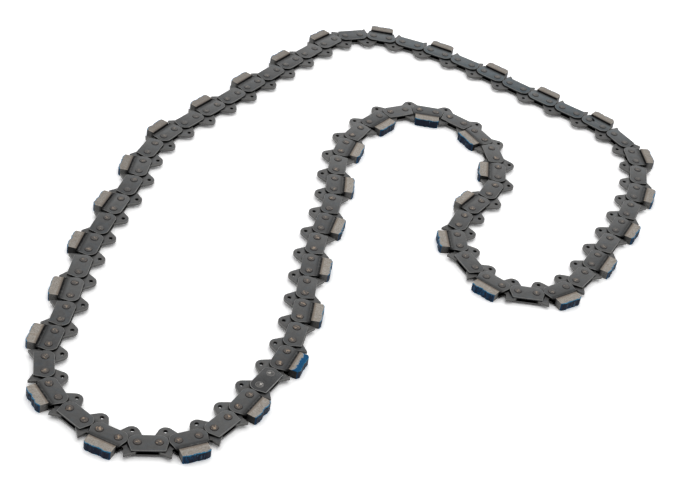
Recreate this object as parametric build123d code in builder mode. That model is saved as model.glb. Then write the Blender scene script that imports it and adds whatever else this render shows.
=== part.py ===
from build123d import *
import math
import os

# Diamond saw chain: one closed loop that lies flat on its segments.
# Millimetres. +X to the right, +Y away from the viewer, +Z up, and the origin
# on the floor under the middle of the loop.

# Chain
CUTTERS = 37                # diamond segments, each followed by one plain link
CHAIN_PITCH = 9.525         # half of a strap and a drive link together, 3/8 inch
STRAP_PITCH = 10.05         # rivet to rivet in a strap
JOINING_LINK = 2            # the plain link that closes the loop, counted back from the route's start
SIDE_PLAY = 0.05            # between a drive link and the strap beside it

# Straps, measured from the line through their two rivets
STRAP_THICKNESS = 1.05
STRAP_GAP = 0.25            # between the ends of two straps in a straight run
TIE_EDGE = 5.5              # outer edge of a plain strap
CUTTER_EDGE = 5.9           # outer edge of a cutter strap, where the segment is welded on
INNER_EDGE = 4.6
CORNER_REACH = 2.9          # outer corner beyond the rivet
INNER_REACH = 1.8           # start of the rounded inner corner beyond the rivet
END_DROP = 0.7              # widest point of the strap's end below the rivet line

# Diamond segments
SEGMENT_LENGTH = 14.2
SEGMENT_WIDTH = 5.0         # across the chain, wider than the links so that they clear the cut
SEGMENT_SIDE = 4.5          # height of the square part of the ends
SEGMENT_CREST = 5.6         # height of the two crests of the cutting face
CREST_SPACING = 9.2
VALLEY_DEPTH = 0.4          # of the hollow between the crests
VALLEY_LENGTH = 3.0

# Drive links: a rounded tang inside the loop, a guard horn outside
DRIVE_GAUGE = 1.6
DRIVE_END_GAP = 2.6         # between two drive links in one strap
DRIVE_END_RISE = 1.2        # furthest point of an end above the rivet line
SHOULDER_REACH = 2.35       # shoulder of the tang beyond the rivet
SHOULDER_DROP = 3.9
TANG_DEPTH = 10.3           # tip of the tang below the rivet line
TANG_RADIUS = 3.8
TANG_NOSE_TURN = 104        # degrees of arc drawn at the nose
TANG_HOLE_DROP = 7.4
TANG_HOLE_RADIUS = 0.8
HORN_TIP_RISE = 9.3
HORN_TIP_GAP = 2.9          # from the tip to the end of the segment that it faces, in a straight run
HORN_FRONT_RISE = 4.6       # foot of the steep side, facing the segment
HORN_FRONT_GAP = 1.7
HORN_BACK_RISE = 5.4        # foot of the long slope, over the plain rivet
HORN_SLOPE_LENGTH = 4.8     # from the tip to that foot, along the link

# Rivet heads
HEAD_RADIUS = 2.1
HEAD_HEIGHT = 0.35

# Flats that stand for the small rounds of the rivet heads and tang holes
ROUND_SIDES = 6
NOSE_FLATS = 3

# The line of the rivets as the loop lies, clockwise from the first plain link
ROUTE = [
    (-84, -196), (-99, -198), (-113, -194), (-129, -184), (-142, -170), (-148, -152),
    (-147, -124), (-147, -86), (-141, -29), (-135, 9), (-134, 27), (-128, 45),
    (-109, 78), (-70, 144), (-50, 176), (-38, 190), (-20, 196), (-1, 195),
    (35, 185), (69, 168), (103, 150), (128, 136), (142, 122), (148, 104),
    (147, 75), (140, 47), (126, 12), (115, -14), (104, -30), (88, -39),
    (70, -37), (55, -25), (46, -8), (45, 11), (57, 37), (64, 54),
    (65, 73), (60, 92), (49, 107), (34, 117), (15, 119), (-1, 112),
    (-14, 96), (-25, 71), (-28, 42), (-27, 14), (-31, -24), (-32, -62),
    (-32, -91), (-37, -127), (-49, -156), (-57, -174), (-68, -188),
]
ROUTE_SAMPLES_PER_LINK = 40
CLOSING_STEPS = 50          # halvings of the interval in which the loop's scale lies

DRIVE_PITCH = 2 * CHAIN_PITCH - STRAP_PITCH
STRAP_END = (STRAP_PITCH + DRIVE_PITCH - STRAP_GAP) / 2
DRIVE_END = (STRAP_PITCH + DRIVE_PITCH - DRIVE_END_GAP) / 2

# Levels in the stack of plates, symmetric about the middle of the segments
MIDDLE = SEGMENT_WIDTH / 2
DRIVE_LEVEL = MIDDLE - DRIVE_GAUGE / 2
UPPER_LEVEL = DRIVE_LEVEL + DRIVE_GAUGE + SIDE_PLAY
UPPER_FACE = UPPER_LEVEL + STRAP_THICKNESS
LOWER_FACE = DRIVE_LEVEL - SIDE_PLAY - STRAP_THICKNESS

os.makedirs("parts", exist_ok=True)


def save(part, name):
    part.label = name
    export_step(part, f"parts/{name}.step")


# Outlines, with x along the link and y away from the inside of the loop
def strap_outline(outer_edge):
    half = STRAP_PITCH / 2
    right = [
        (half + INNER_REACH, -INNER_EDGE),
        (STRAP_END, -END_DROP),
        (half + CORNER_REACH, outer_edge),
    ]
    return right + [(-x, y) for x, y in reversed(right)]


def segment_outline():
    right = [
        (SEGMENT_LENGTH / 2, CUTTER_EDGE),
        (SEGMENT_LENGTH / 2, CUTTER_EDGE + SEGMENT_SIDE),
        (CREST_SPACING / 2, CUTTER_EDGE + SEGMENT_CREST),
        (VALLEY_LENGTH / 2, CUTTER_EDGE + SEGMENT_CREST - VALLEY_DEPTH),
    ]
    return right + [(-x, y) for x, y in reversed(right)]


def drive_outline():
    half = DRIVE_PITCH / 2
    nose = []
    for flat in range(NOSE_FLATS + 1):
        turn = math.radians(-90 + TANG_NOSE_TURN * (flat / NOSE_FLATS - 0.5))
        nose.append((TANG_RADIUS * math.cos(turn), TANG_RADIUS * (1 + math.sin(turn)) - TANG_DEPTH))
    cutter_side = [(half + SHOULDER_REACH, -SHOULDER_DROP), (DRIVE_END, DRIVE_END_RISE)]
    segment_end = CHAIN_PITCH - SEGMENT_LENGTH / 2
    tip = segment_end - HORN_TIP_GAP
    horn = [
        (segment_end - HORN_FRONT_GAP, HORN_FRONT_RISE),
        (tip, HORN_TIP_RISE),
        (tip - HORN_SLOPE_LENGTH, HORN_BACK_RISE),
    ]
    plain_side = [(-x, y) for x, y in reversed(cutter_side)]
    return nose + cutter_side + horn + plain_side


# Rivet places: equal straight chords stepped round a closed line
def step_round(line, chords):
    count = len(line)
    rivets = [line[0]]
    place = 0
    for chord in chords:
        start = rivets[-1]
        while (line[(place + 1) % count] - start).length < chord:
            place += 1
        near = line[place % count]
        run = line[(place + 1) % count] - near
        back = near - start
        half_b = run.dot(back) / run.dot(run)
        c = (back.dot(back) - chord**2) / run.dot(run)
        share = -half_b + math.sqrt(half_b**2 - c)
        rivets.append(near + run * share)
    return rivets[:-1], place + share


def rivet_places():
    chords = [STRAP_PITCH, DRIVE_PITCH] * (2 * CUTTERS)
    samples = ROUTE_SAMPLES_PER_LINK * len(chords)
    with BuildLine() as rivet_line:
        Spline(*ROUTE, periodic=True)
    drawn = rivet_line.edge().positions([i / samples for i in range(samples)])
    fit = sum(chords) / rivet_line.edge().length
    small, large = fit * 0.9, fit * 1.1
    for _ in range(CLOSING_STEPS):
        scale = (small + large) / 2
        rivets, lap = step_round([point * scale for point in drawn], chords)
        if lap > samples:
            small = scale
        else:
            large = scale
    return rivets


def between(first, second):
    run = second - first
    return Location((first + second) * 0.5, (0, 0, math.degrees(math.atan2(run.Y, run.X))))


def centred(spots, outline_of_spot):
    corners = [
        (spot * Location(corner)).position
        for spot, outline in zip(spots, outline_of_spot)
        for corner in outline
    ]
    xs = [corner.X for corner in corners]
    ys = [corner.Y for corner in corners]
    middle = Vector((min(xs) + max(xs)) / 2, (min(ys) + max(ys)) / 2)
    return [Location(-middle) * spot for spot in spots]


tie_shape = strap_outline(TIE_EDGE)
cutter_shape = strap_outline(CUTTER_EDGE)
segment_shape = segment_outline()
drive_shape = drive_outline()
flipped_drive_shape = [(-x, y) for x, y in reversed(drive_shape)]

rivet_line_points = rivet_places()
following = rivet_line_points[1:] + rivet_line_points[:1]
link_spots = [between(a, b) for a, b in zip(rivet_line_points, following)]
# Along the chain: plain strap, drive link, cutter strap, flipped drive link
link_shapes = [tie_shape, drive_shape, segment_shape, flipped_drive_shape] * CUTTERS
link_spots = centred(link_spots, link_shapes)

plain_spots = link_spots[0::4]
drive_spots = link_spots[1::4]
cutter_spots = link_spots[2::4]
flipped_drive_spots = link_spots[3::4]
joining_spot = plain_spots.pop(-JOINING_LINK)

# Drive links
with BuildPart() as drive_links:
    with BuildSketch(Plane.XY.offset(DRIVE_LEVEL)):
        for shape, spots in ((drive_shape, drive_spots), (flipped_drive_shape, flipped_drive_spots)):
            with Locations(*spots):
                Polygon(*shape, align=None)
                with Locations((0, -TANG_HOLE_DROP)):
                    RegularPolygon(TANG_HOLE_RADIUS, ROUND_SIDES, mode=Mode.SUBTRACT)
    extrude(amount=DRIVE_GAUGE)
save(drive_links.part, "drive_links")

# Straps, one above and one below each pair of drive links
strap_groups = (
    ("cutter_straps", cutter_shape, cutter_spots),
    ("tie_straps", tie_shape, plain_spots),
    ("joining_strap", tie_shape, [joining_spot]),
)
for group_name, shape, spots in strap_groups:
    for side, level in (("upper", UPPER_LEVEL), ("lower", LOWER_FACE)):
        with BuildPart() as straps:
            with BuildSketch(Plane.XY.offset(level)):
                with Locations(*spots):
                    Polygon(*shape, align=None)
            extrude(amount=STRAP_THICKNESS)
        save(straps.part, f"{group_name}_{side}")

# Diamond segments, seated on the outer edges of their two straps
for number, spot in enumerate(cutter_spots, start=1):
    with BuildPart() as diamond_segment:
        with BuildSketch(Plane(spot)):
            Polygon(*segment_shape, align=None)
        extrude(amount=SEGMENT_WIDTH)
    save(diamond_segment.part, f"diamond_segment_{number:02d}")

# Rivet heads, peened low over both faces of the stack
with BuildPart() as rivet_head:
    with BuildSketch() as head_foot:
        RegularPolygon(HEAD_RADIUS, ROUND_SIDES)
    loft(sections=[head_foot.face(), Vertex(0, 0, HEAD_HEIGHT)], ruled=True)

rivet_groups = (
    ("rivets", cutter_spots + plain_spots),
    ("joining_rivets", [joining_spot]),
)
for group_name, spots in rivet_groups:
    upper_seats = [
        spot * Location((end * STRAP_PITCH / 2, 0, UPPER_FACE)) for spot in spots for end in (-1, 1)
    ]
    lower_seats = [
        spot * Location((end * STRAP_PITCH / 2, 0, LOWER_FACE), (180, 0, 0))
        for spot in spots
        for end in (-1, 1)
    ]
    with BuildPart() as rivet_heads:
        with Locations(*upper_seats, *lower_seats):
            add(rivet_head.part)
    save(rivet_heads.part, group_name)
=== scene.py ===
import math
import random

import bmesh
import bpy
import numpy as np
from mathutils import Matrix, Vector
from mathutils.geometry import tessellate_polygon


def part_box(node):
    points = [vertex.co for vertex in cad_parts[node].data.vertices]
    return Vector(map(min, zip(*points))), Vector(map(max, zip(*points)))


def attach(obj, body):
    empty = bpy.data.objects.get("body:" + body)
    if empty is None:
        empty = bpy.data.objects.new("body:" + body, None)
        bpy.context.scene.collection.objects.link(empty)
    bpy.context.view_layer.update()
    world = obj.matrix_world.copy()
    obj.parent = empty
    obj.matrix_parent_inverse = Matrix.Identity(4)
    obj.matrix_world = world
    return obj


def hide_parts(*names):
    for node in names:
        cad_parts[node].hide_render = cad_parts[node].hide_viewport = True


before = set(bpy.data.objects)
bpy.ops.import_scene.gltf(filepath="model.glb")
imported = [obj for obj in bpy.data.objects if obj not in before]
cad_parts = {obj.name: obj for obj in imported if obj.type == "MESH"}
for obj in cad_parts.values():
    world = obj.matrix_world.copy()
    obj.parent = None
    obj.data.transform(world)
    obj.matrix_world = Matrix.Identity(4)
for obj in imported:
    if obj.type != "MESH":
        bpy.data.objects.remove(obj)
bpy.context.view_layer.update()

# Lengths below are millimetres in a link's own frame, with x along the link, y away from
# the inside of the loop and z up from the floor. MM turns them into the frame's metres.
MM = 0.001

# Straps
STRAP_END_RADIUS = 4.4          # of the inner corners, about the rivets
STRAP_END_DROP = 0.3            # of that arc's centre below the rivet line
STRAP_END_TURN = 8              # degrees past that centre's level at which the arc ends
STRAP_INNER_EDGE = 4.6
STRAP_CORNER_REACH = 2.9
TIE_EDGE = 5.5
CUTTER_EDGE = 5.9
TIE_CORNER_RADIUS = 0.45
CUTTER_CORNER_RADIUS = 1.3
STRAP_BEVEL = 0.3
COVE_LENGTH = 14.8              # of the groove beside the segment
COVE_RADIUS = 7.3
COVE_RISE = 7.1                 # of its centre line above the strap's face

# A slot worn through one cutter strap, beside its first rivet
SLOT_SEGMENT = 17
SLOT_ENDS = ((-3.95, 2.4), (-2.35, 1.15))
SLOT_RADIUS = 0.55

# Drive links
TANG_DEPTH = 10.3
TANG_RADIUS = 3.8
TANG_NOSE = (-142, -38)         # angles at which the nose's arc starts and ends
TANG_HOLE_DROP = 7.4
TANG_HOLE_RADIUS = 0.92
SHOULDER_REACH = 2.35           # beyond the rivet
SHOULDER_DROP = 3.9
DRIVE_END_GAP = 2.6             # between two drive links in one strap
DRIVE_END_RISE = 1.2
HORN_TIP_GAP = 2.9              # to the end of the segment that the horn faces, in a straight run
HORN_TIP_RISE = 9.3
HORN_FRONT_GAP = 1.7            # to that end too, from the foot of the steep side
HORN_FRONT_RISE = 4.6
HORN_SLOPE_LENGTH = 4.8         # from the tip to the foot of the long slope
HORN_BACK_RISE = 5.4
SHOULDER_RADIUS = 1.2
DRIVE_END_RADIUS = 1.5
HORN_FRONT_RADIUS = 1.0
HORN_TIP_RADIUS = 0.25
HORN_BACK_RADIUS = 0.8
DRIVE_BEVEL = 0.2

# Segments
SEGMENT_LENGTH = 14.2
SEGMENT_SIDE = 4.7
SEGMENT_CREST = 5.6
CREST_SPACING = 9.2
HOLLOW_SPREAD = 1.3             # half width of the hollow between the crests
HOLLOW_PLACES = (-1.8, 1.2)     # between which it lies along a segment
HOLLOW_DEPTHS = (0.1, 0.5)
SEGMENT_BEVEL = 0.2
END_ROUNDING = 0.3              # share of the bevel at the point halfway round a segment's end
SEGMENT_STEP = 0.25             # between the cross-sections along a segment
TOP_ROWS = (0.5, 1.2, 2.4)      # distances behind the cutting face of the points on the flat sides
FACE_ROWS = (0.35, 0.65)        # shares of the width at which the cutting face has points
# Waves and chips of a cutting edge: how many, their heights and their lengths
EDGE_WAVES = (3, (0.03, 0.09), (2.4, 5.0))
EDGE_CHIPS = (2, (0.01, 0.035), (0.7, 1.2))
EDGE_PHASES = (0, 6.28)
# How soiled the tops are, by the segment's number
SOIL_ALONG = (
    (1, 0.12), (3, 0.1), (8, 0.5), (13, 0.46), (17, 0.34), (21, 0.08), (28, 0.15), (30, 0.0), (36, 0.12),
)
# How dark the ends are from soot and painted shade, on the segments that are out of the common and on
# the rest
SOOTY_AND_SHADED_ENDS = {
    **dict.fromkeys((5, 26, 27, 35, 36), 0.9),
    **dict.fromkeys((8, 9, 20, 24, 29, 32, 34), 0.5),
}
COMMON_SOOT_AND_SHADE = (0.0, 0.2)

# Rivet heads
HEAD_RADIUS = 2.15
HEAD_SIDES = 24
HEAD_KINDS = 5
# Share of the radius and share of the height, from the rim to the middle
HEAD_PROFILE = (
    (1.0, 0.0), (0.96, 0.4), (0.88, 0.62), (0.74, 0.66), (0.55, 0.84), (0.32, 1.0), (0.12, 0.82),
)
HEAD_DENTS = (-0.14, 0.08)      # share of the height by which the dome is uneven
DENTED_SHARES = (0.1, 0.8)      # shares of the radius between which it is
PEAK_MARGIN = 0.02              # below the top of the heads, within which each has its peak

# Degrees between the points of an arc
ARC_STEP = 12
HOLE_STEP = 20
GROOVE_STEP = 6
EDGE_STEP = 30
# Degrees round a rounded edge, and how pale it is there, from wear and a painted highlight
BEVEL_ROWS = ((0, 0.0), (30, 0.8), (60, 1.0), (90, 0.6))
MITRE_LIMIT = 0.35              # keeps an inset from running away at a sharp corner
SMOOTH_ANGLE = 34               # degrees up to which faces that meet are shaded as one


# The chain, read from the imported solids
def level(name):
    """Lowest and highest point of a node."""
    low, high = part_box(name)
    return low.z / MM, high.z / MM


UPPER_BOTTOM, UPPER_TOP = level("tie_straps_upper")
LOWER_BOTTOM, LOWER_TOP = level("tie_straps_lower")
DRIVE_BOTTOM, DRIVE_TOP = level("drive_links")
SEGMENT_BOTTOM, SEGMENT_TOP = level("diamond_segment_01")
HEAD_BOTTOM, HEAD_TOP = level("rivets")
MIDDLE = (SEGMENT_BOTTOM + SEGMENT_TOP) / 2
SEGMENT_NODES = sorted(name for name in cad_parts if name.startswith("diamond_segment"))


def head_places(name):
    """The middle of each upper rivet head of a node, seen from above."""
    points = np.array([vertex.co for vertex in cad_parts[name].data.vertices]) / MM
    peaks = points[points[:, 2] > HEAD_TOP - PEAK_MARGIN]
    return np.unique(peaks[:, :2].round(3), axis=0)


def rivet_chain():
    """All rivets in order, clockwise, with the joining link's two rivets first."""
    joining = head_places("joining_rivets")
    waiting = list(head_places("rivets"))
    chain = [joining[0], joining[1]]
    while waiting:
        gaps = [np.linalg.norm(place - chain[-1]) for place in waiting]
        chain.append(waiting.pop(int(np.argmin(gaps))))
    chain = np.array(chain)
    following = np.roll(chain, -1, axis=0)
    area = np.sum(chain[:, 0] * following[:, 1] - chain[:, 1] * following[:, 0])
    if area > 0:
        chain = np.roll(chain[::-1], 2, axis=0)
    return chain


def placing(first, second):
    """The matrix that carries a link's own frame to its place between two rivets."""
    middle = (first + second) / 2
    run = second - first
    turn = math.atan2(run[1], run[0])
    return Matrix.Translation((middle[0], middle[1], 0)) @ Matrix.Rotation(turn, 4, "Z")


RIVETS = rivet_chain()
STRAP_PITCH = float(np.linalg.norm(RIVETS[1] - RIVETS[0]))
DRIVE_PITCH = float(np.linalg.norm(RIVETS[2] - RIVETS[1]))
STRAP_PLACES = [placing(RIVETS[i], RIVETS[i + 1]) for i in range(0, len(RIVETS), 2)]
DRIVE_PLACES = [placing(RIVETS[i], RIVETS[(i + 1) % len(RIVETS)]) for i in range(1, len(RIVETS), 2)]


# Outlines, counter-clockwise
def arc(centre, radius, start, end, step=ARC_STEP):
    """Points along a circle, from one angle to another in degrees."""
    steps = max(2, math.ceil(abs(end - start) / step))
    turns = [math.radians(start + (end - start) * i / steps) for i in range(steps + 1)]
    return [(centre[0] + radius * math.cos(t), centre[1] + radius * math.sin(t)) for t in turns]


def rounded(points, radii):
    """A polygon's points with each corner replaced by an arc of its own radius."""
    outline = []
    count = len(points)
    for i, radius in enumerate(radii):
        here = Vector(points[i])
        to_last = (Vector(points[i - 1]) - here).normalized()
        to_next = (Vector(points[(i + 1) % count]) - here).normalized()
        if not radius:
            outline.append(tuple(here))
            continue
        half = math.acos(max(-1.0, min(1.0, to_last.dot(to_next)))) / 2
        reach = radius / math.tan(half)
        centre = here + (to_last + to_next).normalized() * (radius / math.sin(half))
        begin = here + to_last * reach - centre
        finish = here + to_next * reach - centre
        start = math.degrees(math.atan2(begin.y, begin.x))
        sweep = math.degrees(math.atan2(begin.x * finish.y - begin.y * finish.x, begin.dot(finish)))
        outline += arc(centre, radius, start, start + sweep)
    return outline


def mirrored(right):
    """A right half and its mirror image, as one outline."""
    return right + [(-x, y) for x, y in reversed(right)]


def strap_outline(outer_edge, corner_radius):
    half = STRAP_PITCH / 2
    centre = (half, -STRAP_END_DROP)
    foot = math.degrees(math.asin((STRAP_INNER_EDGE - STRAP_END_DROP) / STRAP_END_RADIUS))
    end = arc(centre, STRAP_END_RADIUS, -foot, STRAP_END_TURN)
    corner = (half + STRAP_CORNER_REACH, outer_edge)
    sharp = end + [corner, (0, outer_edge)]
    return mirrored(rounded(sharp, [0] * len(end) + [corner_radius, 0])[:-1])


def drive_outline():
    pitch = (STRAP_PITCH + DRIVE_PITCH) / 2
    nose = arc((0, TANG_RADIUS - TANG_DEPTH), TANG_RADIUS, *TANG_NOSE)
    shoulder = (DRIVE_PITCH / 2 + SHOULDER_REACH, -SHOULDER_DROP)
    end = (pitch - DRIVE_END_GAP / 2, DRIVE_END_RISE)
    segment_end = pitch - SEGMENT_LENGTH / 2
    tip = segment_end - HORN_TIP_GAP
    corners = [
        (shoulder, SHOULDER_RADIUS),
        (end, DRIVE_END_RADIUS),
        ((segment_end - HORN_FRONT_GAP, HORN_FRONT_RISE), HORN_FRONT_RADIUS),
        ((tip, HORN_TIP_RISE), HORN_TIP_RADIUS),
        ((tip - HORN_SLOPE_LENGTH, HORN_BACK_RISE), HORN_BACK_RADIUS),
        ((-end[0], end[1]), DRIVE_END_RADIUS),
        ((-shoulder[0], shoulder[1]), SHOULDER_RADIUS),
    ]
    sharp = nose + [corner for corner, _ in corners]
    return rounded(sharp, [0] * len(nose) + [radius for _, radius in corners])


def slot_outline(first, second, radius):
    """A long hole with round ends."""
    run = Vector(second) - Vector(first)
    turn = math.degrees(math.atan2(run.y, run.x))
    return arc(second, radius, turn - 90, turn + 90) + arc(first, radius, turn + 90, turn + 270)


# Meshes, kept as plain lists until a piece has all its solids
class Form:
    """Points, faces and each face's finish, with named values at each point."""

    def __init__(self, *names):
        self.points = []
        self.faces = []
        self.finish = []
        self.values = {name: [] for name in names}

    def add_ring(self, places, **values):
        """Points in a row, with one value for all of them or a list of values."""
        first = len(self.points)
        self.points += places
        for name, value in values.items():
            self.values[name] += value if isinstance(value, list) else [value] * len(places)
        return range(first, len(self.points))

    def add_face(self, corners, finish):
        self.faces.append(tuple(corners))
        self.finish.append(finish)

    def join_rings(self, upper, lower, finishes):
        count = len(upper)
        for i in range(count):
            after = (i + 1) % count
            self.add_face((upper[i], lower[i], lower[after], upper[after]), finishes[i])


def inset(outline, depth):
    """A counter-clockwise outline moved inwards by one depth all along."""
    moved = []
    count = len(outline)
    for i in range(count):
        here = Vector(outline[i])
        along = (here - Vector(outline[i - 1])).normalized()
        onward = (Vector(outline[(i + 1) % count]) - here).normalized()
        normal = Vector((-along.y - onward.y, along.x + onward.x)).normalized()
        share = max(MITRE_LIMIT, normal.dot(Vector((-along.y, along.x))))
        moved.append(tuple(here + normal * (depth / share)))
    return moved


TOP, SIDE, FACE = 0, 1, 2
# Painted shade on the inner walls of holes
HOLE_SHADE = 0.9
# Painted shade on the four rows of an edge, from the flat face to the wall: dark where plates face each
# other, and towards the foot of the upper strap's wall
UNSHADED = (0.0, 0.0, 0.0, 0.0)
UPPER_WALL = (0.0, 0.0, 0.0, 0.35)
UNDERSIDE = (1.0, 1.0, 1.0, 0.9)
LOWER_RIM = (1.0, 0.6, 0.2, 0.1)


def edge_profile(bottom, top, bevel, top_shades, bottom_shades):
    """Height, inset, paleness from wear and painted highlight, and painted shade of each row of points
    down a rounded edge.
    """
    above, below = [], []
    for (turn, wear), top_shade, bottom_shade in zip(BEVEL_ROWS, top_shades, bottom_shades):
        drop = bevel * (1 - math.cos(math.radians(turn)))
        depth = bevel * (1 - math.sin(math.radians(turn)))
        above.append((top - drop, depth, wear * (1 - top_shade), top_shade))
        below.append((bottom + drop, depth, wear * (1 - bottom_shade), bottom_shade))
    return above + below[::-1]


def plate(outline, holes, bottom, top, bevel, top_shades=UNSHADED, bottom_shades=UNSHADED):
    """A flat piece with rounded edges, and holes right through it."""
    form = Form("wear", "shade")
    profile = edge_profile(bottom, top, bevel, top_shades, bottom_shades)
    upper_rings, lower_rings = [], []
    hole_profile = [(z, depth, 0.0, HOLE_SHADE) for z, depth, _, _ in profile]
    hole_profile[0] = profile[0]
    hole_profile[-1] = profile[-1]
    for contour, sign, rows in [(outline, 1, profile)] + [(hole, -1, hole_profile) for hole in holes]:
        rings = []
        for z, depth, wear, shade in rows:
            places = [(x, y, z) for x, y in inset(contour, sign * depth)]
            rings.append(form.add_ring(places, wear=wear, shade=shade))
        for upper, lower in zip(rings, rings[1:]):
            form.join_rings(upper, lower, [TOP] * len(contour))
        upper_rings.append(rings[0])
        lower_rings.append(rings[-1])
    for rings in (upper_rings, lower_rings):
        order = [i for ring in rings for i in ring]
        loops = [[Vector(form.points[i]) for i in ring] for ring in rings]
        for corners in tessellate_polygon(loops):
            form.add_face([order[i] for i in corners], TOP)
    return form


def as_object(name, solids, materials, unit=MM):
    """One object from solids that are given as form, matrix and a number of their own."""
    points, faces, finish, places, marks = [], [], [], [], []
    values = {value_name: [] for value_name in solids[0][0].values}
    for form, matrix, mark in solids:
        first = len(points)
        points += [tuple((matrix @ Vector(point)) * unit) for point in form.points]
        faces += [tuple(first + i for i in face) for face in form.faces]
        finish += form.finish
        places += form.points
        marks += [mark] * len(form.points)
        for value_name, held in values.items():
            held += form.values[value_name]
    values["mark"] = marks
    mesh = bpy.data.meshes.new(name)
    mesh.from_pydata(points, [], faces)
    for material in materials:
        mesh.materials.append(material)
    mesh.polygons.foreach_set("material_index", finish)
    own_places = mesh.attributes.new("link_place", "FLOAT_VECTOR", "POINT")
    own_places.data.foreach_set("vector", np.ravel(places))
    for value_name, held in values.items():
        mesh.attributes.new(value_name, "FLOAT", "POINT").data.foreach_set("value", held)
    shell = bmesh.new()
    shell.from_mesh(mesh)
    bmesh.ops.recalc_face_normals(shell, faces=shell.faces)
    shell.to_mesh(mesh)
    shell.free()
    mesh.shade_smooth()
    mesh.set_sharp_from_angle(angle=math.radians(SMOOTH_ANGLE))
    made = bpy.data.objects.new(name, mesh)
    bpy.context.scene.collection.objects.link(made)
    return made


def cut(form, tool):
    """The form with the tool's shape taken out of it."""
    body = as_object("body", [(form, Matrix.Identity(4), 0.0)], [], 1.0)
    cutter = as_object("cutter", [(tool, Matrix.Identity(4), 0.0)], [], 1.0)
    boolean = body.modifiers.new("cut", "BOOLEAN")
    boolean.operation = "DIFFERENCE"
    boolean.solver = "EXACT"
    boolean.object = cutter
    shaped = bpy.data.meshes.new_from_object(body.evaluated_get(bpy.context.evaluated_depsgraph_get()))
    result = Form(*form.values)
    values = {name: [entry.value for entry in shaped.attributes[name].data] for name in form.values}
    result.add_ring([tuple(vertex.co) for vertex in shaped.vertices], **values)
    for polygon in shaped.polygons:
        result.add_face(polygon.vertices, polygon.material_index)
    for made in (body, cutter):
        bpy.data.objects.remove(made)
    return result


def bar_along(radius, length, centre):
    """A round bar along x, to cut grooves with."""
    form = Form("wear", "shade")
    rim = arc(centre, radius, 0, 360, GROOVE_STEP)[:-1]
    rings = [
        form.add_ring([(x, y, z) for y, z in rim], wear=0.0, shade=0.0)
        for x in (-length / 2, length / 2)
    ]
    form.join_rings(rings[0], rings[1], [TOP] * len(rim))
    for ring in rings:
        form.add_face(ring, TOP)
    return form


def strap_forms(outer_edge, corner_radius, holes=()):
    """An upper and a lower strap, with painted shade where they face the drive links."""
    outline = strap_outline(outer_edge, corner_radius)
    upper = plate(outline, holes, UPPER_BOTTOM, UPPER_TOP, STRAP_BEVEL, UPPER_WALL, UNDERSIDE)
    lower = plate(outline, [], LOWER_BOTTOM, LOWER_TOP, STRAP_BEVEL, LOWER_RIM)
    return upper, lower


def cutter_strap_forms(holes=()):
    """Straps with the groove that runs along their segment, on their outer sides."""
    upper, lower = strap_forms(CUTTER_EDGE, CUTTER_CORNER_RADIUS, holes)
    upper_groove = bar_along(COVE_RADIUS, COVE_LENGTH, (CUTTER_EDGE, UPPER_TOP + COVE_RISE))
    lower_groove = bar_along(COVE_RADIUS, COVE_LENGTH, (CUTTER_EDGE, LOWER_BOTTOM - COVE_RISE))
    return cut(upper, upper_groove), cut(lower, lower_groove)


def drive_form(flipped):
    outline = drive_outline()
    if flipped:
        outline = [(-x, y) for x, y in reversed(outline)]
    hole = arc((0, -TANG_HOLE_DROP), TANG_HOLE_RADIUS, 0, 360, HOLE_STEP)[:-1]
    return plate(outline, [hole], DRIVE_BOTTOM, DRIVE_TOP, DRIVE_BEVEL)


def worn_edge(draw):
    """A segment's own cutting edge, as the height over its seat at a place along it."""
    hollow = draw.uniform(*HOLLOW_PLACES)
    depth = draw.uniform(*HOLLOW_DEPTHS)
    waves = [
        (draw.uniform(*sizes), draw.uniform(*lengths), draw.uniform(*EDGE_PHASES))
        for count, sizes, lengths in (EDGE_WAVES, EDGE_CHIPS)
        for _ in range(count)
    ]
    crest, end = CREST_SPACING / 2, SEGMENT_LENGTH / 2

    def height(x):
        fall = max(0.0, abs(x) - crest) / (end - crest)
        value = SEGMENT_CREST - (SEGMENT_CREST - SEGMENT_SIDE) * fall ** 2
        value -= depth * math.exp(-((x - hollow) / HOLLOW_SPREAD) ** 2)
        for size, length, phase in waves:
            value += size * math.sin(2 * math.pi * x / length + phase)
        return value

    return height


def segment_section(height, shrink):
    """A segment's cross-section as points (y, z), with the finish of the strip after each."""
    inner, outer = CUTTER_EDGE + shrink, CUTTER_EDGE + height - shrink
    low, high = SEGMENT_BOTTOM + shrink, SEGMENT_TOP - shrink
    bevel = SEGMENT_BEVEL
    below = [(inner, low)] + [(outer - row, low) for row in reversed(TOP_ROWS)]
    face = arc((outer - bevel, low + bevel), bevel, -90, 0, EDGE_STEP)
    face += [(outer, low + (high - low) * share) for share in FACE_ROWS]
    face += arc((outer - bevel, high - bevel), bevel, 0, 90, EDGE_STEP)
    above = [(outer - row, high) for row in TOP_ROWS] + [(inner, high)]
    finishes = [TOP] * len(below) + [FACE] * (len(face) - 1) + [TOP] * len(above) + [SIDE]
    return below + face + above, finishes


def along_chain(table, number):
    """A value at one segment, from a table that gives it at some of them."""
    return float(np.interp(number, *zip(*table)))


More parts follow.
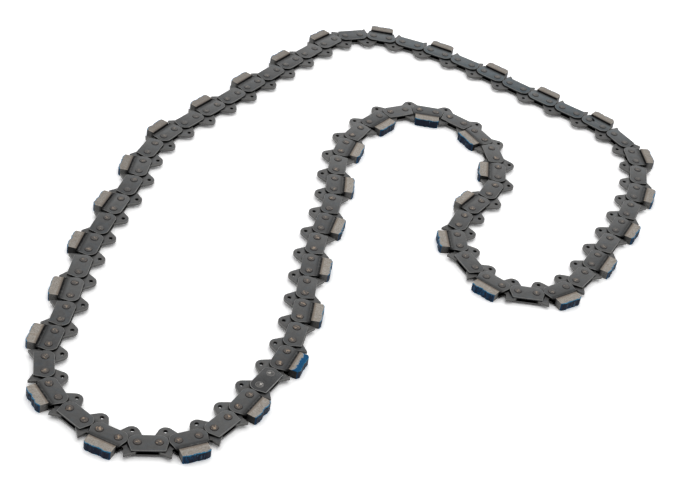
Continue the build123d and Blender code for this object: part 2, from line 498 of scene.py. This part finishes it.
def segment_form(number):
    """A segment with a cutting face of its own, worn a little differently from the others."""
    draw = random.Random(number)
    edge = worn_edge(draw)
    form = Form("depth", "soil", "soot")
    soil = along_chain(SOIL_ALONG, number)
    soot = SOOTY_AND_SHADED_ENDS.get(number, draw.uniform(*COMMON_SOOT_AND_SHADE))
    end, bevel = SEGMENT_LENGTH / 2, SEGMENT_BEVEL
    count = round((SEGMENT_LENGTH - 2 * bevel) / SEGMENT_STEP)
    middle = [(bevel - end + (SEGMENT_LENGTH - 2 * bevel) * i / count, 0.0) for i in range(count + 1)]
    start = [(-end, bevel), (END_ROUNDING * bevel - end, END_ROUNDING * bevel)]
    columns = start + middle + [(-x, shrink) for x, shrink in reversed(start)]
    rings = []
    for x, shrink in columns:
        height = edge(x)
        section, finishes = segment_section(height, shrink)
        depths = [CUTTER_EDGE + height - y for y, _ in section]
        places = [(x, y, z) for y, z in section]
        rings.append(form.add_ring(places, depth=depths, soil=soil, soot=soot))
    for ring, following in zip(rings, rings[1:]):
        form.join_rings(ring, following, finishes)
    form.add_face(rings[0], SIDE)
    form.add_face(rings[-1], SIDE)
    return form


def head_form(kind, seat, peak):
    """A peened rivet head: a low dome, dented round its middle."""
    draw = random.Random(kind)
    form = Form("middle")
    rings = []
    for share, rise in HEAD_PROFILE:
        places = []
        for i in range(HEAD_SIDES):
            turn = 2 * math.pi * i / HEAD_SIDES
            dent = draw.uniform(*HEAD_DENTS) if DENTED_SHARES[0] < share < DENTED_SHARES[1] else 0.0
            radius = HEAD_RADIUS * share
            height = seat + (peak - seat) * (rise + dent)
            places.append((radius * math.cos(turn), radius * math.sin(turn), height))
        rings.append(form.add_ring(places, middle=1 - share))
    for outer, inner in zip(rings, rings[1:]):
        form.join_rings(inner, outer, [TOP] * HEAD_SIDES)
    form.add_face(rings[-1], TOP)
    form.add_face(rings[0], TOP)
    return form


# Materials
def node(tree, kind, inputs=None, **settings):
    """A shader node with its settings, and its inputs set or linked."""
    made = tree.nodes.new(kind)
    for name, value in settings.items():
        setattr(made, name, value)
    for name, value in (inputs or {}).items():
        if isinstance(value, bpy.types.NodeSocket):
            tree.links.new(value, made.inputs[name])
        else:
            made.inputs[name].default_value = value
    return made


def new_material(name):
    """An empty material, with its node tree."""
    material = bpy.data.materials.new(name)
    material.use_nodes = True
    material.node_tree.nodes.clear()
    return material, material.node_tree


def surface(tree, inputs):
    """The tree's shader and output."""
    shader = node(tree, "ShaderNodeBsdfPrincipled", inputs)
    node(tree, "ShaderNodeOutputMaterial", {"Surface": shader.outputs[0]})


def noise(tree, scale, detail=4.0, roughness=0.55, vector=None):
    """A noise value whose grain is so many to the metre, or to the unit of a vector."""
    place = vector or tree.nodes.new("ShaderNodeTexCoord").outputs["Object"]
    made = node(tree, "ShaderNodeTexNoise", {
        "Vector": place, "Scale": scale, "Detail": detail, "Roughness": roughness})
    return made.outputs["Fac"]


def remap(tree, value, low, high, to_low=0.0, to_high=1.0):
    """A value's range carried over to another range, and held at its ends."""
    made = node(tree, "ShaderNodeMapRange", {
        "Value": value, "From Min": low, "From Max": high, "To Min": to_low, "To Max": to_high})
    return made.outputs["Result"]


NOISE_RANGE = (0.3, 0.7)        # in which nearly all of a noise lies


def spread(tree, value, low, high):
    """A noise's range carried over to another one."""
    return remap(tree, value, *NOISE_RANGE, low, high)


def maths(tree, operation, first, second=0.0):
    made = node(tree, "ShaderNodeMath", {0: first, 1: second}, operation=operation)
    return made.outputs[0]


def mix(tree, share, first, second):
    made = node(tree, "ShaderNodeMix", {0: share, 6: first, 7: second}, data_type="RGBA")
    return made.outputs[2]


def attribute(tree, name):
    return node(tree, "ShaderNodeAttribute", attribute_name=name).outputs["Fac"]


def streaks(tree, axes, detail, roughness):
    """Noise over three values, each with so many grains to its unit."""
    scaled = [maths(tree, "MULTIPLY", value, grains) for value, grains in axes]
    vector = node(tree, "ShaderNodeCombineXYZ", dict(zip("XYZ", scaled)))
    return noise(tree, 1.0, detail, roughness, vector.outputs[0])


def link_place(tree):
    """X, Y and Z in the link's own frame."""
    place = node(tree, "ShaderNodeAttribute", attribute_name="link_place").outputs["Vector"]
    return node(tree, "ShaderNodeSeparateXYZ", {0: place}).outputs


def bump(tree, height, strength, distance):
    made = node(tree, "ShaderNodeBump", {"Height": height, "Strength": strength, "Distance": distance})
    return made.outputs["Normal"]


def rgb(red, green, blue):
    """A colour given as 0 to 255 values, in linear light."""
    def linear(value):
        share = value / 255
        return share / 12.92 if share <= 0.04045 else ((share + 0.055) / 1.055) ** 2.4
    return (linear(red), linear(green), linear(blue), 1.0)


# Dark colour of painted shade, and of the burn beside the segments
SHADE_AND_BURN = rgb(9, 9, 10)
DARKEST = 0.97                  # share of painted shade and burn in the darkest places
WALL_SHADE = 0.3                # and of painted shade on the walls of every plate
STACK_SHADES = (0.3, 0.95)      # and of painted shade between the straps, on a drive link's faces and on its walls
MARK_SHARE = 0.14               # by which some plates are paler than others
# Where painted shade, painted shadow and burn set in, in the link's own frame
END_ALONG, END_ACROSS = (5.4, 7.2), (2.5, 4.5)
GROOVE_ACROSS = (2.4, 5.2)
STACK_INNER, STACK_OUTER = (-5.2, -4.2), (5.0, 5.8)
STRAP_SHADOW_RING = (4.75, 5.35)         # from a rivet: painted shadow that a strap's end casts on the drive link


def end_wall_shade(tree, side):
    """Painted shade on the walls of a strap's ends, where they turn over the drive links."""
    place = link_place(tree)
    end = remap(tree, maths(tree, "ABSOLUTE", place["X"]), *END_ALONG)
    inner = remap(tree, place["Y"], *END_ACROSS, DARKEST, 0.0)
    return maths(tree, "MULTIPLY", maths(tree, "MULTIPLY", end, inner), side)


def groove_burn_and_shade(tree, side):
    """The groove beside a segment: burn and painted shade, darkest at its foot."""
    nearness = remap(tree, link_place(tree)["Y"], *GROOVE_ACROSS)
    patchy = remap(tree, noise(tree, 700.0, 3.0, 0.65), 0.5, 0.68, DARKEST, 0.74)
    return maths(tree, "MAXIMUM", end_wall_shade(tree, side), maths(tree, "MULTIPLY", nearness, patchy))


def stack_shade(tree, side):
    """Painted shade on a drive link between its straps, darkest on its walls, with a painted shadow
    round the straps' ends.
    """
    place = link_place(tree)
    across = place["Y"]
    inside = remap(tree, side, 0.0, 1.0, *STACK_SHADES)
    inside = maths(tree, "MULTIPLY", inside, remap(tree, across, *STACK_INNER))
    inside = maths(tree, "MULTIPLY", inside, remap(tree, across, *STACK_OUTER, 1.0, 0.0))
    along = maths(tree, "SUBTRACT", maths(tree, "ABSOLUTE", place["X"]), DRIVE_PITCH / 2)
    squares = [maths(tree, "MULTIPLY", reach, reach) for reach in (along, across)]
    from_rivet = maths(tree, "SQRT", maths(tree, "ADD", *squares))
    return maths(tree, "MAXIMUM", inside, remap(tree, from_rivet, *STRAP_SHADOW_RING, DARKEST, 0.0))


BLUED = rgb(11, 42, 53)
# Where the blue sets in along x, y and z, in metres
BLUED_FROM = ((-0.05, 0.01), (0.115, 0.15), (DRIVE_TOP * MM, UPPER_BOTTOM * MM))


def blueing(tree):
    """A blue tinge, in patches on the upper straps at the back."""
    place = tree.nodes.new("ShaderNodeTexCoord").outputs["Object"]
    place = node(tree, "ShaderNodeSeparateXYZ", {0: place}).outputs
    share = remap(tree, noise(tree, 330.0, 3.0), 0.36, 0.6, 0.4, 1.0)
    for axis, limits in zip("XYZ", BLUED_FROM):
        share = maths(tree, "MULTIPLY", share, remap(tree, place[axis], *limits))
    return share


def steel(name, colour, cool, warm, pale, rough, darkening, specular=0.5):
    """Blackened steel: satin grey with cool and warm clouds, fine specks, and paler edges from wear and
    a painted highlight.

    Places with painted shade, and burnt places, turn to a dark metal, which keeps little of the gloss.
    """
    material, tree = new_material(name)
    clouds = noise(tree, 260.0, 3.0)
    specks = noise(tree, 1900.0, 3.0, 0.7)
    grain = noise(tree, 5200.0, 2.0)
    tinted = mix(tree, remap(tree, clouds, 0.48, 0.68, 0.0, 0.8), colour, cool)
    tinted = mix(tree, blueing(tree), tinted, BLUED)
    tinted = mix(tree, maths(tree, "MULTIPLY", attribute(tree, "mark"), MARK_SHARE), tinted, pale)
    tinted = mix(tree, remap(tree, specks, 0.62, 0.78, 0.0, 0.6), tinted, warm)
    # Paler edges: wear, and a painted highlight along the bevels on the unshaded side
    edge = maths(tree, "MULTIPLY", attribute(tree, "wear"), remap(tree, specks, 0.3, 0.6, 0.5, 1.0))
    tinted = mix(tree, edge, tinted, pale)
    normal = tree.nodes.new("ShaderNodeNewGeometry").outputs["Normal"]
    upward = node(tree, "ShaderNodeSeparateXYZ", {0: normal}).outputs["Z"]
    # Painted shade on the walls, by how upright they stand
    side = remap(tree, maths(tree, "ABSOLUTE", upward), 0.25, 0.8, 1.0, 0.0)
    shade = maths(tree, "MAXIMUM", attribute(tree, "shade"), maths(tree, "MULTIPLY", side, WALL_SHADE))
    # Painted shade, painted shadow and burn that depend on the place in the link
    shade = maths(tree, "MAXIMUM", shade, darkening(tree, side))
    dull = remap(tree, noise(tree, 600.0, 4.0, 0.65), 0.38, 0.66, 0.0, 0.26)
    # Painted shade also takes away the gloss, as a dark metal
    surface(tree, {
        "Base Color": mix(tree, shade, tinted, SHADE_AND_BURN),
        "Metallic": maths(tree, "MAXIMUM", shade, maths(tree, "SUBTRACT", dull, edge)),
        "Roughness": spread(tree, specks, rough - 0.08, rough + 0.1),
        "Specular IOR Level": specular,
        "Normal": bump(tree, grain, 0.25, 0.06 * MM),
    })
    return material


def rivet_steel(name, clean, tarnished):
    """A peened head: a ring, a body and dents with a painted glint, each from its clean to its tarnished
    colour.
    """
    material, tree = new_material(name)
    blotch = noise(tree, 1000.0, 3.0, 0.6)
    darkening = noise(tree, 620.0, 2.0)
    grain = noise(tree, 3800.0, 2.0)
    brown = attribute(tree, "mark")
    middle = attribute(tree, "middle")
    ring, body, bright = [mix(tree, brown, clean[part], tarnished[part]) for part in range(3)]
    colour = mix(tree, remap(tree, middle, 0.1, 0.24), ring, body)
    colour = mix(tree, remap(tree, darkening, 0.5, 0.68, 0.0, 0.6), colour, ring)
    # Painted glint on the dents
    glint = remap(tree, maths(tree, "ADD", blotch, maths(tree, "MULTIPLY", middle, 0.25)), 0.68, 0.76)
    ring_metal = remap(tree, middle, 0.05, 0.24, 0.85, 0.0)
    clean_metal = remap(tree, brown, 0.0, 0.7, 0.34, 0.1)
    surface(tree, {
        "Base Color": mix(tree, glint, colour, bright),
        "Metallic": maths(tree, "MAXIMUM", ring_metal, clean_metal),
        "Roughness": spread(tree, blotch, 0.32, 0.55),
        "Normal": bump(tree, grain, 0.5, 0.1 * MM),
    })
    return material


BLUE = rgb(4, 72, 112)
TEAL = rgb(40, 136, 178)
NAVY = rgb(15, 24, 42)
RUBBED = rgb(92, 122, 138)      # paint that is nearly gone
SOOT_AND_SHADE = rgb(16, 16, 17)
BURN_AND_SHADE = rgb(12, 12, 13)
# Dark and pale grains of a segment's top and of its ends and inner side
TOP_GRAINS = (rgb(118, 111, 104), rgb(186, 180, 171))
SIDE_GRAINS = (rgb(82, 81, 80), rgb(138, 137, 135))
# What lies over the grains of the top
SCRATCH = rgb(120, 110, 100)
TAN = rgb(142, 124, 104)
SPECK = rgb(62, 58, 54)
PIT = rgb(94, 84, 74)
CHALK = rgb(196, 188, 176)
BROWN = rgb(104, 88, 72)
SEAT_LINE = rgb(38, 32, 28)
SOIL = rgb(84, 79, 75)
PALE_END = rgb(190, 182, 170)
# Where the bands on a segment end, in the link's own frame
SEAT_BAND = (6.0, 6.4)          # the dark line on its top, by the strap
BROWN_BAND = (6.7, 7.3)
BURNT_AND_SHADED_BAND = (6.0, 7.8)         # on its ends and inner side, with burn and painted shade by the strap
PALE_ENDS = (6.7, 7.0)          # of its top
BLUE_ENDS = (6.3, 7.0)          # of its cutting face
FACE_RIM = (2.05, 2.45)         # from the middle of its width


def worn_paint(tree):
    """How much is left of the bright paint along a segment's edges."""
    return remap(tree, noise(tree, 420.0, 3.0, 0.6), 0.38, 0.56, 0.3, 1.0)


def from_middle(tree, place):
    """Distance from the middle of a segment's width."""
    return maths(tree, "ABSOLUTE", maths(tree, "SUBTRACT", place["Z"], MIDDLE))


def segment_top():
    """Sintered matrix: beige and speckled, browner by the strap, with paint over its outer edge."""
    material, tree = new_material("segment_top")
    place = link_place(tree)
    specks = noise(tree, 1700.0, 4.0, 0.75)
    clouds = noise(tree, 420.0, 3.0)
    grit = noise(tree, 3600.0, 2.0)
    scratches = streaks(tree, ((place["X"], 4.0), (place["Y"], 0.4), (clouds, 1.0)), 2.0, 0.6)
    pits = noise(tree, 820.0, 3.0, 0.7)
    along = maths(tree, "ABSOLUTE", place["X"])
    layers = (
        (scratches, (0.52, 0.7, 0.0, 0.35), SCRATCH),
        (clouds, (0.5, 0.7, 0.0, 0.4), TAN),
        (specks, (0.27, 0.34, 0.7, 0.0), SPECK),
        (pits, (0.58, 0.68, 0.0, 0.55), PIT),
        (pits, (0.32, 0.42, 0.45, 0.0), CHALK),
        (place["Y"], (*BROWN_BAND, 0.6, 0.0), BROWN),
        (place["Y"], (*SEAT_BAND, 0.8, 0.0), SEAT_LINE),
        (attribute(tree, "soil"), (0.0, 1.0), SOIL),
        (along, (*PALE_ENDS, 0.0, 0.5), PALE_END),
    )
    body = mix(tree, remap(tree, specks, 0.3, 0.68), *TOP_GRAINS)
    for value, limits, colour in layers:
        body = mix(tree, remap(tree, value, *limits), body, colour)
    strokes = streaks(tree, ((place["X"], 1.5), (place["Y"], 0.25), (clouds, 3.0)), 3.0, 0.7)
    ragged = maths(tree, "ADD", attribute(tree, "depth"), spread(tree, specks, -0.3, 0.3))
    ragged = maths(tree, "ADD", ragged, spread(tree, strokes, -0.7, 0.7))
    spill = maths(tree, "SUBTRACT", ragged, attribute(tree, "mark"))
    paint = remap(tree, spill, 0.0, 0.15, 1.0, 0.0)
    fringe = remap(tree, spill, 0.1, 0.45, 0.85, 0.0)
    body = mix(tree, maths(tree, "MULTIPLY", fringe, worn_paint(tree)), body, TEAL)
    body = mix(tree, paint, body, BLUE)
    surface(tree, {
        "Base Color": body,
        "Metallic": maths(tree, "MULTIPLY", paint, 0.7),
        "Roughness": spread(tree, specks, 0.55, 0.8),
        "Specular IOR Level": 0.3,
        "Normal": bump(tree, grit, 0.6, 0.15 * MM),
    })
    return material


def segment_side():
    """Ends and inner side of a segment: grey, darkened by soot and painted shade, and black by the strap
    from burn and painted shade.
    """
    material, tree = new_material("segment_side")
    specks = noise(tree, 1500.0, 4.0, 0.75)
    body = mix(tree, remap(tree, specks, 0.35, 0.68), *SIDE_GRAINS)
    # Soot and painted shade on the ends, set segment by segment
    body = mix(tree, attribute(tree, "soot"), body, SOOT_AND_SHADE)
    place = link_place(tree)
    strap_face, own_face = UPPER_TOP - MIDDLE, SEGMENT_TOP - MIDDLE
    # Burn and painted shade where the segment meets the strap, darkest at the strap's face
    burnt_and_shaded = remap(tree, from_middle(tree, place), strap_face, own_face, DARKEST, 0.4)
    nearness = remap(tree, place["Y"], *BURNT_AND_SHADED_BAND, 1.0, 0.0)
    body = mix(tree, maths(tree, "MULTIPLY", nearness, burnt_and_shaded), body, BURN_AND_SHADE)
    surface(tree, {
        "Base Color": body,
        "Roughness": spread(tree, specks, 0.5, 0.75),
        "Specular IOR Level": 0.15,
        "Normal": bump(tree, specks, 0.5, 0.15 * MM),
    })
    return material


def segment_face():
    """Cutting face: grit under navy paint, with teal paint and a painted highlight along the edges, and
    brighter on upright ridges.
    """
    material, tree = new_material("segment_face")
    place = link_place(tree)
    specks = noise(tree, 1300.0, 4.0, 0.75)
    patches = noise(tree, 45.0, 2.0)
    ridges = streaks(tree, ((place["X"], 1.3), (place["Z"], 0.25), (patches, 20.0)), 3.0, 0.6)
    ragged = maths(tree, "ADD", from_middle(tree, place), spread(tree, specks, -0.25, 0.25))
    # Teal rim along the face's edges: worn paint, and a painted highlight
    rim = maths(tree, "MULTIPLY", remap(tree, ragged, *FACE_RIM), worn_paint(tree))
    ends = remap(tree, maths(tree, "ABSOLUTE", place["X"]), *BLUE_ENDS)
    raised = maths(tree, "ADD", ridges, remap(tree, patches, 0.35, 0.65, -0.12, 0.12))
    ridge = remap(tree, raised, 0.55, 0.68)
    body = mix(tree, maths(tree, "MULTIPLY", ridge, 0.7), NAVY, BLUE)
    body = mix(tree, remap(tree, ridges, 0.62, 0.72, 0.0, 0.7), body, RUBBED)
    body = mix(tree, maths(tree, "MULTIPLY", ends, 0.5), body, BLUE)
    body = mix(tree, rim, body, TEAL)
    surface(tree, {
        "Base Color": body,
        "Roughness": spread(tree, specks, 0.4, 0.65),
        "Specular IOR Level": 0.12,
        "Normal": bump(tree, ridges, 0.5, 0.3 * MM),
    })
    return material


# Plain, cool, warm and pale colour of each steel; the pale one gives paler plates, and worn edges with a
# painted highlight
STRAP_COLOURS = (rgb(40, 40, 40), rgb(35, 43, 49), rgb(58, 50, 43), rgb(135, 135, 133))
DRIVE_COLOURS = (rgb(50, 49, 48), rgb(45, 50, 54), rgb(66, 57, 49), rgb(130, 129, 127))
JOINING_COLOURS = (rgb(26, 27, 28), rgb(24, 29, 33), rgb(36, 33, 30), rgb(170, 170, 169))
SATIN, SMOOTH = 0.42, 0.32      # roughness
JOINING_SPECULAR = 0.38
STRAP_STEEL = steel("strap_steel", *STRAP_COLOURS, SATIN, end_wall_shade)
CUTTER_STEEL = steel("cutter_strap_steel", *STRAP_COLOURS, SATIN, groove_burn_and_shade)
DRIVE_STEEL = steel("drive_steel", *DRIVE_COLOURS, SATIN, stack_shade)
JOINING_STEEL = steel("joining_steel", *JOINING_COLOURS, SMOOTH, end_wall_shade, JOINING_SPECULAR)
# Ring, body and painted glint on the dents of a rivet head, first clean and then tarnished
RIVET_STEEL = rivet_steel(
    "rivet_steel",
    (rgb(34, 34, 34), rgb(60, 59, 58), rgb(88, 86, 83)),
    (rgb(24, 20, 18), rgb(60, 50, 43), rgb(160, 138, 114)))
BRIGHT_RIVET = rivet_steel(
    "joining_rivet_steel",
    (rgb(104, 104, 104), rgb(46, 46, 46), rgb(190, 189, 185)),
    (rgb(98, 96, 94), rgb(50, 48, 46), rgb(180, 176, 170)))
SEGMENT_FINISH = [segment_top(), segment_side(), segment_face()]


# The pieces
# How far the paint runs over the tops, on the segment that is out of the common and on the rest
PAINT_SPILL = {35: 2.6}
COMMON_SPILL = (-0.1, 0.2)
# How brown the rivet heads are, by the number of the segment beside them, and each head's share of that
TARNISH_ALONG = (
    (1, 1.0), (3, 0.8), (7, 0.3), (17, 0.1), (21, 0.4), (26, 0.7), (31, 0.7), (35, 0.9), (37, 1.0),
)
TARNISH_SHARES = (0.65, 1.0)
SEED = 11


def finished(piece, slot, *nodes):
    """A piece that stands for CAD nodes, on the chain's one body."""
    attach(piece, "root")
    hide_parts(*nodes)


def cutter_numbers():
    """The cutter strap's place in the chain for each segment node."""
    middles = [sum(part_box(name), Vector()) / 2 / MM for name in SEGMENT_NODES]
    straps = [matrix @ Vector((0, CUTTER_EDGE, 0)) for matrix in STRAP_PLACES]
    return [
        min(range(1, len(straps), 2), key=lambda i: (straps[i].xy - middle.xy).length)
        for middle in middles
    ]


TIE_FORMS = strap_forms(TIE_EDGE, TIE_CORNER_RADIUS)
CUTTER_FORMS = cutter_strap_forms()
SLOTTED_FORMS = cutter_strap_forms([slot_outline(*SLOT_ENDS, SLOT_RADIUS)])
DRIVE_FORM = drive_form(flipped=False)
FLIPPED_DRIVE_FORM = drive_form(flipped=True)
UPPER_HEADS = [head_form(kind, UPPER_TOP, HEAD_TOP) for kind in range(HEAD_KINDS)]
LOWER_HEADS = [head_form(kind, LOWER_BOTTOM, HEAD_BOTTOM) for kind in range(HEAD_KINDS)]


def rivet_solids(places, number, draw):
    """Upper and lower heads of some rivets beside one segment."""
    tarnish = along_chain(TARNISH_ALONG, number)
    solids = []
    for x, y in places:
        for heads in (UPPER_HEADS, LOWER_HEADS):
            turn = Matrix.Rotation(draw.uniform(0, 2 * math.pi), 4, "Z")
            place = Matrix.Translation((x, y, 0))
            solids.append((draw.choice(heads), place @ turn, tarnish * draw.uniform(*TARNISH_SHARES)))
    return solids


def make_segment(number, place, draw):
    spill = PAINT_SPILL.get(number, draw.uniform(*COMMON_SPILL))
    segment = as_object(f"segment_{number:02d}", [(segment_form(number), place, spill)], SEGMENT_FINISH)
    finished(segment, "segment_matrix", f"diamond_segment_{number:02d}")


def make_cutter_straps(number, place, draw):
    forms = SLOTTED_FORMS if number == SLOT_SEGMENT else CUTTER_FORMS
    solids = [(form, place, draw.random()) for form in forms]
    straps = as_object(f"cutter_pair_{number:02d}", solids, [CUTTER_STEEL])
    finished(straps, "strap_steel", "cutter_straps_upper", "cutter_straps_lower")


def make_drive_links(number, before, after, draw):
    """The drive links on both sides of one cutter link."""
    solids = [(DRIVE_FORM, before, draw.random()), (FLIPPED_DRIVE_FORM, after, draw.random())]
    links = as_object(f"drive_pair_{number:02d}", solids, [DRIVE_STEEL])
    finished(links, "drive_link_steel", "drive_links")


def make_tie_straps(number, place, draw):
    solids = [(form, place, draw.random()) for form in TIE_FORMS]
    straps = as_object(f"tie_pair_{number:02d}", solids, [STRAP_STEEL])
    finished(straps, "strap_steel", "tie_straps_upper", "tie_straps_lower")


def make_joining_link(number, place, rivets, draw):
    solids = [(form, place, draw.random()) for form in TIE_FORMS]
    straps = as_object("joining_pair", solids, [JOINING_STEEL])
    finished(straps, "joining_steel", "joining_strap_upper", "joining_strap_lower")
    heads = as_object("joining_rivet_set", rivet_solids(rivets, number, draw), [BRIGHT_RIVET])
    finished(heads, "joining_rivet_steel", "joining_rivets")


def make_rivets(number, rivets, draw):
    heads = as_object(f"rivet_set_{number:02d}", rivet_solids(rivets, number, draw), [RIVET_STEEL])
    finished(heads, "rivet_steel", "rivets")


def make_chain():
    """The links in pairs: one that carries a segment, and the plain one before it."""
    draw = random.Random(SEED)
    for number, cutter in enumerate(cutter_numbers(), start=1):
        tie = cutter - 1
        tie_rivets = list(RIVETS[2 * tie:2 * tie + 2])
        cutter_rivets = list(RIVETS[2 * cutter:2 * cutter + 2])
        make_segment(number, STRAP_PLACES[cutter], draw)
        make_cutter_straps(number, STRAP_PLACES[cutter], draw)
        make_drive_links(number, DRIVE_PLACES[tie], DRIVE_PLACES[cutter], draw)
        if tie == 0:
            make_joining_link(number, STRAP_PLACES[tie], tie_rivets, draw)
            make_rivets(number, cutter_rivets, draw)
        else:
            make_tie_straps(number, STRAP_PLACES[tie], draw)
            make_rivets(number, tie_rivets + cutter_rivets, draw)


# Camera, found by fitting the rivets to the photograph, in pixels, degrees and millimetres
IMAGE_WIDTH = 680
FOCAL_PIXELS = 1674.7
ELEVATION = 37.560
DISTANCE = 911.10
ROLL = 9.995
TARGET = (-18.19, -17.67)
SENSOR = 36.0
NEAREST = 10.0                  # that the camera still shows


def make_camera():
    tilt, roll = math.radians(ELEVATION), math.radians(ROLL)
    forward = Vector((0, math.cos(tilt), -math.sin(tilt)))
    up = Vector((0, math.sin(tilt), math.cos(tilt)))
    across = Vector((1, 0, 0))
    right = across * math.cos(roll) + up * math.sin(roll)
    above = up * math.cos(roll) - across * math.sin(roll)
    axes = Matrix((right, above, -forward)).transposed().to_4x4()
    axes.translation = (Vector((*TARGET, 0)) - forward * DISTANCE) * MM
    lens = bpy.data.cameras.new("camera")
    lens.sensor_fit = "HORIZONTAL"
    lens.sensor_width = SENSOR
    lens.lens = FOCAL_PIXELS / IMAGE_WIDTH * SENSOR
    lens.clip_start = NEAREST * MM
    camera = bpy.data.objects.new("camera", lens)
    bpy.context.scene.collection.objects.link(camera)
    camera.matrix_world = axes
    bpy.context.scene.camera = camera


# White ground and soft light, in metres and watts
FLOOR_HALF = 12.0
FLOOR_SHADE = 0.9               # of the floor in the light that it gives back to the object
FLOOR_SEEN = 1.4                # and as it is seen, where white paper is brighter than white
FRONT_FILL, BACK_FILL = 0.3, 0.7
LAMPS = (
    ("lamp_above", (0.0, 0.1, 1.5), 1.6, 9.0),
    ("lamp_back", (0.0, 1.6, 0.7), 1.4, 5.0),
    ("lamp_left", (-1.6, -0.1, 0.5), 1.0, 6.0),
    ("lamp_right", (1.6, -0.1, 0.5), 1.0, 6.0),
)
WHITE = (1.0, 1.0, 1.0, 1.0)


def seen_ray(tree):
    """1 for rays from the camera, and for what metal or glass shows of the ground."""
    path = tree.nodes.new("ShaderNodeLightPath")
    seen = maths(tree, "MAXIMUM", path.outputs["Is Camera Ray"], path.outputs["Is Glossy Ray"])
    return maths(tree, "MAXIMUM", seen, path.outputs["Is Transmission Ray"])


def make_floor():
    corners = [(x * FLOOR_HALF, y * FLOOR_HALF, 0) for x, y in ((-1, -1), (1, -1), (1, 1), (-1, 1))]
    mesh = bpy.data.meshes.new("floor")
    mesh.from_pydata(corners, [], [(0, 1, 2, 3)])
    floor = bpy.data.objects.new("floor", mesh)
    bpy.context.scene.collection.objects.link(floor)
    material, tree = new_material("floor")
    brightness = remap(tree, seen_ray(tree), 0.0, 1.0, FLOOR_SHADE, FLOOR_SEEN)
    paper = node(tree, "ShaderNodeBsdfDiffuse", {"Color": brightness})
    node(tree, "ShaderNodeOutputMaterial", {"Surface": paper.outputs[0]})
    mesh.materials.append(material)


def make_world():
    """White to the camera and in reflections, and a soft fill from all round, weaker at the front."""
    world = bpy.data.worlds.new("world")
    bpy.context.scene.world = world
    world.use_nodes = True
    tree = world.node_tree
    tree.nodes.clear()
    direction = tree.nodes.new("ShaderNodeTexCoord").outputs["Generated"]
    backward = node(tree, "ShaderNodeSeparateXYZ", {0: direction}).outputs["Y"]
    fill = remap(tree, backward, -1.0, 1.0, FRONT_FILL, BACK_FILL)
    missing = maths(tree, "MULTIPLY", seen_ray(tree), maths(tree, "SUBTRACT", 1.0, fill))
    strength = maths(tree, "ADD", fill, missing)
    sky = node(tree, "ShaderNodeBackground", {"Color": WHITE, "Strength": strength})
    node(tree, "ShaderNodeOutputWorld", {"Surface": sky.outputs[0]})


def make_lamps():
    for name, place, size, power in LAMPS:
        data = bpy.data.lights.new(name, "AREA")
        data.size = size
        data.energy = power
        lamp = bpy.data.objects.new(name, data)
        bpy.context.scene.collection.objects.link(lamp)
        lamp.location = place
        lamp.rotation_euler = (-Vector(place)).to_track_quat("-Z", "Y").to_euler()


make_chain()
make_camera()
make_floor()
make_world()
make_lamps()
bpy.context.scene.view_settings.view_transform = "Standard"
